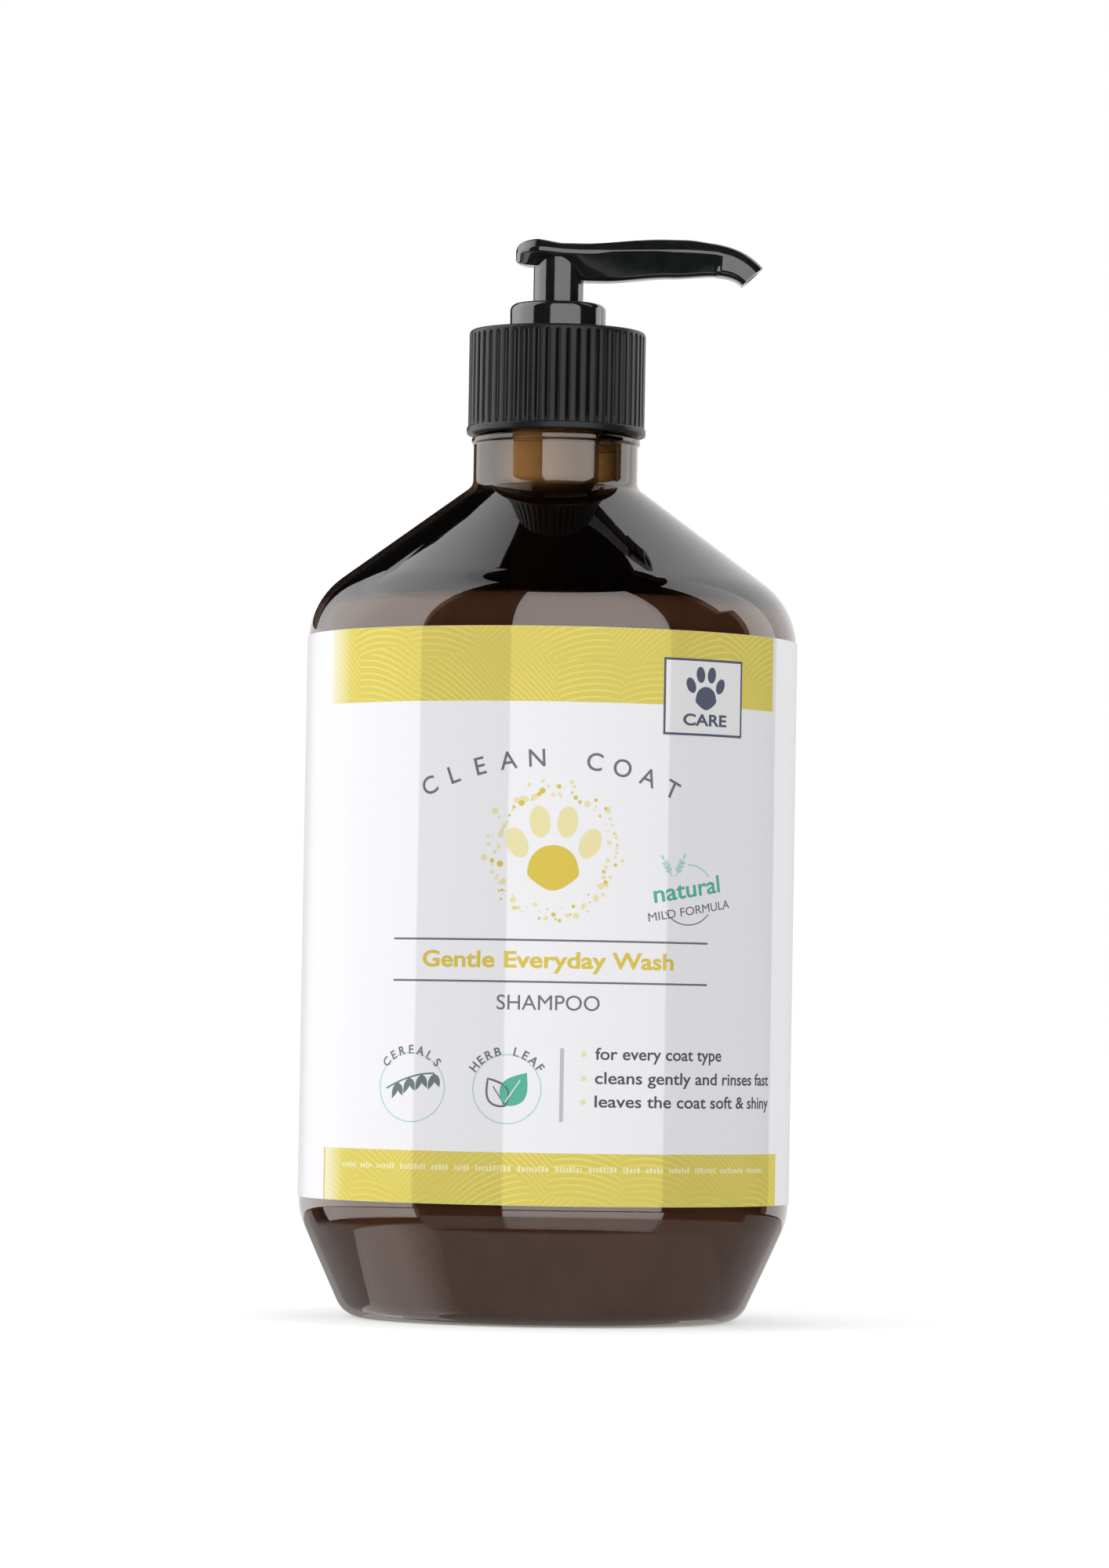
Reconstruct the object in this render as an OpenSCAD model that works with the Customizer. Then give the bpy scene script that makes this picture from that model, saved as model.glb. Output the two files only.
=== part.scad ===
// Pump-top shampoo bottle: blown PET bottle with a wrap label, and a lotion pump that locks down.
// Frame: origin at the centre of the base, on the resting plane. +Z is up and the spout points along +X.
// All sizes are in millimetres. The pump is drawn pressed down, ready for the quarter turn that locks it.

/* [Bottle] */
// Outside radius of the straight body
body_r = 38.9; // [37:0.1:40]
// Height of the corner between the base taper and the straight body
taper_top = 16.5; // [15:0.1:17.5]
// Height where the straight body and the cone shoulder would meet if the corner were sharp
shoulder_z = 113.55; // [113.4:0.05:114.5]
// Outside radius of the clear neck under the closure
neck_r = 13.1; // [12.7:0.05:13.15]
// Thickness of the blown wall
wall = 0.9; // [0.7:0.1:1.1]
// Level of the shampoo
fill_z = 113.5; // [60:0.5:117]

/* [Neck finish] */
// Radius over the neck thread
thread_r = 11.95; // [11.85:0.05:12]
// Radius at the root of the neck thread
finish_r = 10.9; // [10.8:0.05:11]
// Radius of the bore through the finish
finish_bore_r = 8.9; // [8.5:0.1:9.1]
// Rise of the thread in one turn
pitch = 3.175; // [3:0.005:3.3]
// Height of the neck's lip
lip_z = 153.9; // [153.7:0.1:154.1]

/* [Label] */
// Bottom edge of the label
label_z0 = 19; // [18.8:0.1:25]
// Top edge of the label
label_z1 = 108; // [80:0.1:108]
// Thickness of the label
label_t = 0.12; // [0.08:0.01:0.2]
// Width of the open strip between the label's ends, at the back
label_gap = 3; // [1:0.5:20]

/* [Closure] */
// Radius over the closure's ribs
closure_r = 14.1; // [13.9:0.05:14.4]
// Number of grip ribs
rib_count = 52; // [40:4:64]
// Depth of the grooves between the ribs
rib_depth = 0.45; // [0.2:0.05:0.5]
// Bottom of the closure
closure_z0 = 140.8; // [140.6:0.1:141.2]
// Top face of the closure
closure_z1 = 157.5; // [157.4:0.1:157.6]

/* [Pump] */
// Travel of the pump head, from locked down to fully raised
stroke = 15; // [8:0.5:15]
// Radius of the pump chamber
chamber_r = 5.6; // [5.5:0.05:5.7]
// Outside radius of the stem
stem_r = 3.05; // [3:0.01:3.07]
// Outside radius of the head's skirt
skirt_r = 4; // [3.9:0.05:4.1]
// Top of the lock ring
collar_top = 161.9; // [161.7:0.1:162.4]
// Distance from the pump's axis to the outlet's centre
spout_reach = 30.8; // [28:0.2:36]
// Lower end of the dip tube
tube_z0 = 5; // [4.5:0.5:20]

/* [Hidden] */
$fn = 96;
eps = 0.02;
cut = 1;
neck_ring_z = 140.4;
bead_z0 = 139.3;
bead_r = 13.45;
pushup = 2.5;
gasket_t = 0.8;
flange_z0 = lip_z + gasket_t;
flange_z1 = closure_z1 - 1.3;
tail_z = 84;
socket_z = 93;
throat_z = 94.5;
seat_z = 95.9;
ball_r = 2.4;
ball_z = 96.52;
ledge_z = 99.6;
spring_z0 = 101.85;
spring_z1 = 113.95;
piston_z0 = 115.92;
piston_z1 = 122.9;
guide_z0 = 144.9;
guide_z1 = 146.1;
skirt_z0 = 146.6;
lug_z0 = 158.8;
lug_z1 = 160.2;
notch_z = 160.4;
lug_r = 5.1;
lug_arc = 70;
notch_r = 5.3;
stem_z1 = 164.4;
head_z = 169.4;

// ---------- outlines ----------

function unit(v) = v / norm(v);

// One corner b = [x, y, radius] between a and c, as the points of its fillet.
function corner(a, b, c, n) =
    let (p = [b.x, b.y],
        u = unit([a.x, a.y] - p),
        v = unit([c.x, c.y] - p),
        half = acos(u * v) / 2,
        o = p + unit(u + v) * b[2] / sin(half),
        s = p + u * b[2] / tan(half) - o,
        e = p + v * b[2] / tan(half) - o,
        a0 = atan2(s.y, s.x),
        raw = atan2(e.y, e.x) - a0,
        turn = raw > 180 ? raw - 360 : raw < -180 ? raw + 360 : raw)
    b[2] == 0 ? [p] : [for (i = [0 : n]) o + b[2] * [cos(a0 + turn * i / n), sin(a0 + turn * i / n)]];

// A closed outline from corners [x, y, radius].
function rounded(p, n = 6) =
    [for (i = [0 : len(p) - 1]) each corner(p[(i + len(p) - 1) % len(p)], p[i], p[(i + 1) % len(p)], n)];

module revolved(p, n = 6) {
    rotate_extrude() polygon(rounded(p, n));
}

module ring(r_out, r_in, z0, z1) {
    translate([0, 0, z0]) difference() {
        cylinder(r = r_out, h = z1 - z0);
        translate([0, 0, -cut]) cylinder(r = r_in, h = z1 - z0 + 2 * cut);
    }
}

// A pie slice of the given arc, centred on the +Y and -Y directions, for lugs and notches.
module two_sectors(r, arc, z0, z1) {
    for (side = [90, 270])
        rotate([0, 0, side - arc / 2]) translate([0, 0, z0])
            rotate_extrude(angle = arc) square([r, z1 - z0]);
}

// ---------- threads and coils ----------

// Triangles for a chain of sections with m points each, closed at both ends.
function skin_faces(n, m) = concat(
    [for (i = [0 : n - 2], j = [0 : m - 1]) [i * m + j, (i + 1) * m + j, (i + 1) * m + (j + 1) % m]],
    [for (i = [0 : n - 2], j = [0 : m - 1]) [i * m + j, (i + 1) * m + (j + 1) % m, i * m + (j + 1) % m]],
    [[for (j = [0 : m - 1]) j]],
    [[for (j = [0 : m - 1]) n * m - 1 - j]]);

// A right-hand thread ridge from radius r0, inside the wall, to its crest at r1. The ends fade out.
module thread_ridge(r0, r1, z0, turns, root_w = 1.9, crest_w = 0.9) {
    n = round(turns * 36) + 1;
    fade = 6;
    m = 4;
    points = [for (i = [0 : n - 1])
        let (k = min(1, (i + 1) / fade, (n - i) / fade),
            a = 360 * turns * i / (n - 1),
            z = z0 + pitch * turns * i / (n - 1),
            r = r0 + (r1 - r0) * k,
            section = [[r0, z - root_w / 2], [r, z - crest_w / 2], [r, z + crest_w / 2], [r0, z + root_w / 2]])
        for (j = [0 : m - 1])
            let (q = section[r1 > r0 ? m - 1 - j : j])
            [q.x * cos(a), q.x * sin(a), q.y]];
    polyhedron(points, skin_faces(n, m));
}

// A compression spring with one closed coil at each end.
module coil_spring(r, wire, z0, z1, turns, side_count = 8, steps = 24) {
    n = turns * steps + 1;
    low = z0 + wire;
    high = z1 - wire;
    closed = 2 * wire;
    active = (high - low - 2 * closed) / (turns - 2);
    function rise(t) = t < 1 ? low + closed * t
        : t > turns - 1 ? high - closed * (turns - t)
        : low + closed + active * (t - 1);
    points = [for (i = [0 : n - 1])
        let (t = i / steps, a = 360 * t)
        for (j = [0 : side_count - 1])
            let (b = 360 * j / side_count, q = r + wire * cos(b))
            [q * cos(a), q * sin(a), rise(t) - wire * sin(b)]];
    polyhedron(points, skin_faces(n, side_count));
}

// ---------- bottle ----------

taper = 0.457;
slope = 1.357;
taper_in = sqrt(1 + taper * taper);
slope_in = sqrt(1 + slope * slope);

// The shell's outline at distance t inside the outer surface, from the base to the neck ring.
function shell(t) = [
    [22 - t, t, 0.8],
    [body_r - taper * taper_top - taper_in * t + taper * t, t, 4.5 - t / 2],
    [body_r - t, taper_top + (taper_in - 1) * t / taper, 2 - t],
    [body_r - t, shoulder_z - (slope_in - 1) * t / slope, 12.6 - t],
    [neck_r - t, shoulder_z + (body_r - neck_r - (slope_in - 1) * t) / slope, 2 + t]];

module outer_shape() {
    revolved(concat([[0, pushup, 0]], shell(0), [
        [neck_r, bead_z0, 0.2],
        [bead_r, bead_z0, 0.3],
        [bead_r, neck_ring_z, 0.4],
        [finish_r, neck_ring_z, 0.3],
        [finish_r, lip_z, 0.4],
        [0, lip_z, 0]]));
}

module cavity(clearance = 0) {
    revolved(concat([[0, pushup + wall + clearance, 0]], shell(wall + clearance), [
        [neck_r - wall, neck_ring_z - 1.2, 0.3],
        [finish_bore_r, neck_ring_z - 1.2, 0.3],
        [finish_bore_r, lip_z + cut, 0],
        [0, lip_z + cut, 0]]));
}

module bottle() {
    color([0.24, 0.11, 0.05, 0.9]) {
        difference() {
            outer_shape();
            cavity();
        }
        thread_ridge(finish_r - 0.3, thread_r, lip_z - 7.2, 1.5);
    }
}

module wrap_label() {
    color("white") difference() {
        ring(body_r + label_t + eps, body_r + eps, label_z0, label_z1);
        translate([-label_gap / 2, 0, label_z0 - cut])
            cube([label_gap, body_r + 2, label_z1 - label_z0 + 2 * cut]);
    }
}

// The shampoo fills the cavity to its level, and leaves out the pump with its path when it is unscrewed.
module shampoo() {
    gap = 0.15;
    color([0.42, 0.27, 0.18]) difference() {
        intersection() {
            cavity(0.05);
            cylinder(r = body_r, h = fill_z);
        }
        translate([0, 0, -cut]) cylinder(r = 3 + gap, h = fill_z + 2 * cut);
        translate([0, 0, tail_z - gap]) cylinder(r = 4.1 + gap, h = fill_z);
        translate([0, 0, throat_z]) cylinder(r = chamber_r + 1.3 + gap, h = fill_z);
    }
}

// ---------- closure ----------

// Rounded ribs with narrow grooves between them.
function rib_outline(per_rib = 6) = [for (i = [0 : rib_count * per_rib - 1])
    let (a = 360 * i / (rib_count * per_rib), s = abs(sin(rib_count * a / 2)))
    (closure_r - rib_depth * pow(1 - s, 2)) * [cos(a), sin(a)]];

module closure_cap() {
    rib_z0 = closure_z0 + 1.2;
    rib_z1 = closure_z1 - 0.7;
    top_r = closure_r - 0.15;
    core_r = closure_r - rib_depth - 0.3;
    bore_r = 12.3;
    ceiling_z = closure_z1 - 1.2;
    color([0.12, 0.13, 0.13]) {
        difference() {
            union() {
                translate([0, 0, rib_z0 - 0.2]) linear_extrude(rib_z1 - rib_z0 + 0.2) polygon(rib_outline());
                revolved([[0, closure_z0, 0], [closure_r + 0.2, closure_z0, 0.3], [closure_r + 0.2, rib_z0, 0.3],
                    [core_r, rib_z0, 0], [core_r, rib_z1 - 0.4, 0], [top_r, rib_z1 - 0.4, 0],
                    [top_r, closure_z1, 0.6], [0, closure_z1, 0]]);
            }
            translate([0, 0, closure_z0 - cut]) cylinder(r = bore_r, h = ceiling_z - closure_z0 + cut);
            cylinder(r = 7.15, h = closure_z1 + cut);
        }
        thread_ridge(bore_r + 0.3, 11.15, lip_z - 7.2 - 1.45, 1.5);
    }
}

// ---------- fixed pump parts ----------

module lock_collar() {
    color([0.12, 0.13, 0.13]) difference() {
        revolved([
            [stem_r + 0.05, guide_z0, 0], [6.38, guide_z0, 0.3], [6.38, closure_z1 + 1.7, 0],
            [7.02, closure_z1 + 1.7, 0], [7.02, closure_z1 + 0.1, 0], [7.65, closure_z1 + 0.1, 0],
            [7.65, collar_top, 1.1], [skirt_r + 0.2, collar_top, 0.3], [skirt_r + 0.2, notch_z, 0],
            [notch_r, notch_z, 0], [notch_r, guide_z1, 0], [stem_r + 0.05, guide_z1, 0]]);
        two_sectors(notch_r, lug_arc + 12, notch_z - 0.1, collar_top + cut);
    }
}

module neck_gasket() {
    color("white") ring(10.8, 7.75, lip_z + eps, flange_z0 - eps);
}

module pump_housing() {
    tail_r = 4.1;
    barrel_r = chamber_r + 1.3;
    upper_r = 7.6;
    color([0.93, 0.93, 0.9]) difference() {
        revolved([
            [0, tail_z, 0], [tail_r, tail_z, 0.3], [tail_r, throat_z + 0.5, 1], [barrel_r, ledge_z - 1.4, 1],
            [barrel_r, guide_z0 - 4, 0.5], [upper_r, guide_z0 - 3, 0.5], [upper_r, flange_z0, 0],
            [11.7, flange_z0, 0.2], [11.7, flange_z1, 0.2], [7, flange_z1, 0],
            [7, closure_z1 + 1.6, 0.2], [0, closure_z1 + 1.6, 0]]);
        translate([0, 0, tail_z - cut]) cylinder(r = 3, h = socket_z - tail_z + cut);
        translate([0, 0, socket_z - cut]) cylinder(r = 1.4, h = throat_z - socket_z + 2 * cut);
        translate([0, 0, throat_z]) cylinder(r1 = 1.4, r2 = 2.8, h = seat_z - throat_z - eps);
        translate([0, 0, seat_z - 0.04]) cylinder(r = 2.8, h = ledge_z - seat_z + cut);
        translate([0, 0, ledge_z]) cylinder(r = chamber_r, h = guide_z0 - 2 - ledge_z);
        translate([0, 0, guide_z0 - 3]) cylinder(r = 6.4, h = 30);
        translate([0, 0, guide_z0 - 5.2])
            rotate([0, 90, 0]) cylinder(r = 0.5, h = barrel_r + cut);
    }
}

module dip_tube() {
    color([0.92, 0.92, 0.9]) difference() {
        ring(2.98, 2.2, tube_z0, socket_z - 0.1);
        translate([0, 0, tube_z0 - 1.6]) rotate([0, -25, 0]) cube([12, 12, 3], center = true);
    }
}

// A disc over the ball: it stops the ball's lift and carries the spring.
module ball_retainer() {
    z0 = ledge_z + eps;
    z1 = spring_z0 - eps;
    color([0.9, 0.9, 0.88]) difference() {
        union() {
            ring(chamber_r - eps, 0.01, z0, z1);
            translate([0, 0, z1]) cylinder(r1 = 3, r2 = 2.4, h = 1.2);
        }
        translate([0, 0, z0 - cut]) cylinder(r = 2.7, h = ball_z + ball_r + 1.55 - z0 + cut);
        cylinder(r = 0.9, h = z1 + 5);
        for (a = [0 : 90 : 270])
            rotate([0, 0, a]) translate([1.9, 0, 0]) cylinder(r = 0.7, h = z1 + 5);
    }
}

module inlet_ball() {
    color("silver") translate([0, 0, ball_z]) sphere(r = ball_r);
}

module main_spring() {
    color("silver") coil_spring(3.9, 0.45, spring_z0, spring_z1, 9);
}

// ---------- moving pump parts ----------

// The piston's lips wipe the chamber. Its foot closes on the seat, and its top seals on the stem.
module piston() {
    foot = 4.1;
    color([0.85, 0.86, 0.9]) revolved([
        [foot, piston_z0, 0.1], [4.7, piston_z0, 0.1], [4.9, piston_z0 + 0.8, 0],
        [chamber_r - 0.03, piston_z0 + 0.4, 0.1], [chamber_r - 0.03, piston_z0 + 1.1, 0], [4.9, piston_z0 + 2, 0.2],
        [4.9, piston_z1 - 2, 0.2], [chamber_r - 0.03, piston_z1 - 0.6, 0], [chamber_r - 0.03, piston_z1, 0.1],
        [4.7, piston_z1 - 1.2, 0.2], [3.8, piston_z1, 0.2], [stem_r + 0.04, piston_z1, 0],
        [stem_r + 0.04, piston_z1 - 1.8, 0], [foot, piston_z1 - 2.8, 0]]);
}

// The seat plugs into the stem and closes against the piston's foot.
module piston_seat() {
    top = piston_z0 - eps;
    color([0.9, 0.9, 0.88]) revolved([
        [0, spring_z1 - 1.6, 0], [2.9, spring_z1 - 1.6, 0.3], [3.2, spring_z1 + eps, 0],
        [4.9, spring_z1 + eps, 0.2], [4.9, top, 0.2], [1.68, top, 0], [1.68, top + 1.4, 0.3], [0, top + 1.4, 0]]);
}

module stem() {
    bore_r = 1.7;
    stop_z0 = piston_z1 + 1.25;
    stop_z1 = guide_z0 - stroke - 0.3;
    color([0.9, 0.9, 0.88]) difference() {
        union() {
            ring(stem_r, bore_r, piston_z0, stem_z1);
            ring(3.9, bore_r, stop_z0, stop_z1);
        }
        for (a = [0, 90])
            rotate([0, 0, a]) translate([0, 0, piston_z0 + 2.4])
                rotate([0, 90, 0]) cylinder(r = 0.8, h = 10, center = true);
    }
}

// ---------- pump head ----------

bend = 48;
bend_r = 8.5;
bend_x = spout_reach - bend_r * sin(bend);
rear_x = -6.9;

// A smooth step from 0 to 1 as x goes from a to b.
function ease(x, a, b) = let (t = max(0, min(1, (x - a) / (b - a)))) t * t * (3 - 2 * t);

// Cross-section of the spout at station x along it: half-width, height above and depth below its line.
function half_width(x) = 4.9 - 1.5 * ease(x, 2, 22) - 0.6 * ease(x, 22, 30);
function rise_above(x) = 2.15 + 0.65 * ease(-x, -1, 4) + 0.95 * ease(x, 4, 17) - 0.7 * ease(x, 20, 27);
function drop_below(x) = 1.5 + 2.3 * ease(x, -1, 4.5) - 0.8 * ease(x, 7, 18) - 0.4 * ease(x, 18, 25)
    - 0.65 * ease(x, 25, 31.5);

// One section as [y, z] points: widest above its middle, tapered to the keel, with softened corners.
function spout_section(x, shrink, n) =
    let (w = half_width(x) * shrink,
        up = rise_above(x) * sqrt(shrink),
        down = drop_below(x) * sqrt(shrink))
    rounded([
        [w, 0.35 * up, 0.9 * shrink],
        [0.6 * w, up, 1.3 * shrink],
        [-0.6 * w, up, 1.3 * shrink],
        [-w, 0.35 * up, 0.9 * shrink],
        [-0.5 * w, -down, 1.1 * shrink],
        [0.5 * w, -down, 1.1 * shrink]], n);

// Stations: the round rear end, the straight run, then the bend down to the outlet.
function spout_points(rear_n, run_n, bend_n, n) = concat(
    [for (i = [0 : rear_n])
        let (a = 90 * i / rear_n, x = rear_x + 4.5 * (1 - cos(a)), shrink = max(0.12, sin(a)))
        for (p = spout_section(x, shrink, n)) [x, p.x, head_z + p.y]],
    [for (i = [1 : run_n])
        let (x = rear_x + 4.5 + (bend_x - rear_x - 4.5) * i / run_n)
        for (p = spout_section(x, 1, n)) [x, p.x, head_z + p.y]],
    [for (i = [1 : bend_n])
        let (a = bend * i / bend_n, s = bend_x + bend_r * a * PI / 180)
        for (p = spout_section(s, 1, n))
            [bend_x + (bend_r + p.y) * sin(a), p.x, head_z - bend_r + (bend_r + p.y) * cos(a)]]);

module spout_shell() {
    rear_n = 8;
    run_n = 16;
    bend_n = 8;
    corner_n = 4;
    m = 6 * (corner_n + 1);
    polyhedron(spout_points(rear_n, run_n, bend_n, corner_n), skin_faces(1 + rear_n + run_n + bend_n, m));
}

// The passage from the stem's socket along the spout to the outlet.
module passage() {
    r = 1.4;
    over = 1.2;
    riser_z0 = 160;
    outlet_len = 9;
    knee_x = bend_x + 0.8;
    mouth = [spout_reach, head_z - bend_r * (1 - cos(bend))];
    fall = atan2(head_z - mouth.y, mouth.x - knee_x);
    translate([0, 0, riser_z0]) cylinder(r = r + 0.1, h = head_z - riser_z0 + over);
    translate([-over, 0, head_z]) rotate([0, 90, 0]) cylinder(r = r, h = knee_x + 2 * over);
    translate([knee_x, 0, head_z]) rotate([0, 90 + fall, 0]) cylinder(r = r - 0.1, h = outlet_len);
}

module actuator_head() {
    color([0.1, 0.11, 0.11]) difference() {
        union() {
            spout_shell();
            translate([0, 0, skirt_z0]) cylinder(r = skirt_r, h = head_z - 0.5 - skirt_z0);
            intersection() {
                ring(lug_r, skirt_r - 0.5, lug_z0, lug_z1);
                two_sectors(lug_r + 1, lug_arc, lug_z0 - cut, lug_z1 + cut);
            }
        }
        translate([0, 0, skirt_z0 - cut]) cylinder(r = stem_r + 0.02, h = stem_z1 + 0.1 - skirt_z0 + cut);
        passage();
    }
}

bottle();
wrap_label();
shampoo();
closure_cap();
lock_collar();
neck_gasket();
pump_housing();
dip_tube();
ball_retainer();
inlet_ball();
main_spring();
piston();
piston_seat();
stem();
actuator_head();
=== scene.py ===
"""Looks for the shampoo bottle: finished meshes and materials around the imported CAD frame."""

import math
import random

import bmesh
import bpy
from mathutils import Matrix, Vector


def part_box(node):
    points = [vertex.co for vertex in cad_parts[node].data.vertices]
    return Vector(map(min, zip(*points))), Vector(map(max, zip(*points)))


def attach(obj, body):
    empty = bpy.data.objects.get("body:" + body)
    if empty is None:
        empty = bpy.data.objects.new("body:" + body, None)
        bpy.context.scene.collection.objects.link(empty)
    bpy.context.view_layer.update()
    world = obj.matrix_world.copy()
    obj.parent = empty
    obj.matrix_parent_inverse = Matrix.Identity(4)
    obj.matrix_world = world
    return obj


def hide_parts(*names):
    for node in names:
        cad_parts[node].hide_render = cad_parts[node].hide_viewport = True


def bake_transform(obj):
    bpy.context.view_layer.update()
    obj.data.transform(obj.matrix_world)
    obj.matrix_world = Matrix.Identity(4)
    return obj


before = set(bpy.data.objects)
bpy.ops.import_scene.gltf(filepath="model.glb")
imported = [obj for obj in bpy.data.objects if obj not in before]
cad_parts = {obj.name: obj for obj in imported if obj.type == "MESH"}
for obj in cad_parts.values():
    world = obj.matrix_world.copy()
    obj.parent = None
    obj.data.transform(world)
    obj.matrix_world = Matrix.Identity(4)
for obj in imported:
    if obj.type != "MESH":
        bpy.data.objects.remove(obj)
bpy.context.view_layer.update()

MM = 0.001
TAU = 2 * math.pi


# ---------- sizes, in millimetres, taken from the frame ----------

def span(node):
    """Lowest and highest corner of a CAD node."""
    low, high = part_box(node)
    return [v / MM for v in low], [v / MM for v in high]


label_low, label_high = span("wrap_label")
closure_low, closure_high = span("closure_cap")
spring_low, spring_high = span("main_spring")
bottle_high = span("bottle")[1]
collar_high = span("lock_collar")[1]
shampoo_high = span("shampoo")[1]

BODY_R = bottle_high[0]
LABEL_R = -label_low[1]
LABEL_Z0 = label_low[2]
LABEL_Z1 = label_high[2]
LIP_Z = bottle_high[2]
FILL_Z = shampoo_high[2]
CLOSURE_Z0 = closure_low[2]
CLOSURE_Z1 = closure_high[2]
RIM_OUT = 0.2
CLOSURE_R = closure_high[0] - RIM_OUT
CLOSURE_HOLE_R = 7.15
COLLAR_R = 7.65
COLLAR_TOP = collar_high[2]

# Bottle. TAPER and SLOPE are the run over the rise of the wall above the foot and of the shoulder.
# The neck's lighter, more orange tint, painted light shining through it, sets in between NECK_Z0 and
# NECK_Z1.
FOOT_R = 22
NECK_R = 13.1
NECK_Z0, NECK_Z1 = 130.0, 134.0
FINISH_R = 10.9
FINISH_BORE_R = 8.9
NECK_RING_Z = 140.4
BEAD_R = 13.45
BEAD_Z = 139.3
WALL = 0.9
PUSHUP = 2.5
TAPER_TOP = 16.5
TAPER = 0.457
SHOULDER_Z = 113.55
SLOPE = 1.357

# Thread of the neck and, inside the closure, its partner.
PITCH = 3.175
THREAD_TURNS = 1.5
THREAD_Z = LIP_Z - 7.2
THREAD_R = 11.95
CLOSURE_BORE_R = 12.3
CLOSURE_THREAD_R = 11.15
CLOSURE_THREAD_Z = THREAD_Z - 1.45

# Head lock: the lugs on the head's skirt drop through two slots into a round pocket and turn there.
SKIRT_IN, SKIRT_OUT = 3.1, 4.0
SKIRT_FOOT = 146.6
LUG_R = 5.1
LUG_Z0, LUG_Z1 = 158.8, 160.2
LUG_ARC = math.radians(70)
POCKET_R = 5.3
POCKET_Z0, POCKET_Z1 = 158.6, 160.4
RING_HOLE_R = 4.2
RING_FOOT_R = 5.0
SLOT_R = 5.25
SLOT_ARC = math.radians(82)


# ---------- mesh helpers ----------

def place(name, data):
    """Puts an object with this data in the scene."""
    obj = bpy.data.objects.new(name, data)
    bpy.context.scene.collection.objects.link(obj)
    return obj


def new_object(name, verts, faces, body, material, sharp_angle=40):
    """Makes a smooth-shaded piece from a closed mesh in millimetres. It rides on the body, if given."""
    mesh = bpy.data.meshes.new(name)
    mesh.from_pydata([Vector(v) * MM for v in verts], [], faces)
    mesh.validate()
    bm = bmesh.new()
    bm.from_mesh(mesh)
    bmesh.ops.recalc_face_normals(bm, faces=bm.faces)
    limit = math.radians(sharp_angle)
    for face in bm.faces:
        face.smooth = True
    for edge in bm.edges:
        edge.smooth = not (len(edge.link_faces) == 2 and edge.calc_face_angle(0) > limit)
    bm.to_mesh(mesh)
    bm.free()
    mesh.materials.append(material)
    obj = place(name, mesh)
    if body:
        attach(obj, body)
    return obj


def fillet(a, b, c, steps):
    """Corner b = (x, y, radius) between a and c, as the points of its arc."""
    if b[2] == 0:
        return [(b[0], b[1])]
    p = Vector(b[:2])
    u = (Vector(a[:2]) - p).normalized()
    v = (Vector(c[:2]) - p).normalized()
    half = math.acos(max(-1, min(1, u.dot(v)))) / 2
    centre = p + (u + v).normalized() * b[2] / math.sin(half)
    start = p + u * b[2] / math.tan(half) - centre
    end = p + v * b[2] / math.tan(half) - centre
    first = math.atan2(start.y, start.x)
    turn = (math.atan2(end.y, end.x) - first + math.pi) % TAU - math.pi
    angles = [first + turn * i / steps for i in range(steps + 1)]
    return [(centre.x + b[2] * math.cos(a), centre.y + b[2] * math.sin(a)) for a in angles]


def outline(corners, closed=True, steps=8):
    """The points of an outline with its corners rounded."""
    n = len(corners)
    points = []
    for i, corner in enumerate(corners):
        if closed or 0 < i < n - 1:
            points += fillet(corners[i - 1], corner, corners[(i + 1) % n], steps)
        else:
            points.append((corner[0], corner[1]))
    return points


def revolve(points, segments, closed=True, radius_at=None):
    """Verts and faces of a revolve. An open outline starts and ends on the axis."""
    verts, rows = [], []
    for r, z in points:
        if r < 1e-6:
            rows.append([len(verts)] * segments)
            verts.append((0, 0, z))
            continue
        row = []
        for k in range(segments):
            a = TAU * k / segments
            q = radius_at(r, z, a) if radius_at else r
            row.append(len(verts))
            verts.append((q * math.cos(a), q * math.sin(a), z))
        rows.append(row)
    faces = []
    pairs = list(zip(rows, rows[1:])) + ([(rows[-1], rows[0])] if closed else [])
    for low, high in pairs:
        for k in range(segments):
            m = (k + 1) % segments
            quad = [low[k], low[m], high[m], high[k]]
            face = [v for i, v in enumerate(quad) if v != quad[i - 1]]
            if len(face) > 2:
                faces.append(face)
    return verts, faces


def sweep(sections):
    """Verts and faces of a chain of sections with equal point counts, closed at both ends."""
    m = len(sections[0])
    verts = [p for section in sections for p in section]
    faces = []
    for i in range(len(sections) - 1):
        for j in range(m):
            k = (j + 1) % m
            faces.append([i * m + j, i * m + k, (i + 1) * m + k, (i + 1) * m + j])
    faces.append(list(range(m)))
    faces.append([len(verts) - 1 - j for j in range(m)])
    return verts, faces


def merge(*parts):
    verts, faces = [], []
    for v, f in parts:
        base = len(verts)
        verts += v
        faces += [[i + base for i in face] for face in f]
    return verts, faces


def ease(x, a, b):
    """Smooth step of x from 0 at a to 1 at b."""
    t = max(0, min(1, (x - a) / (b - a)))
    return t * t * (3 - 2 * t)


# ---------- materials ----------

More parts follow.
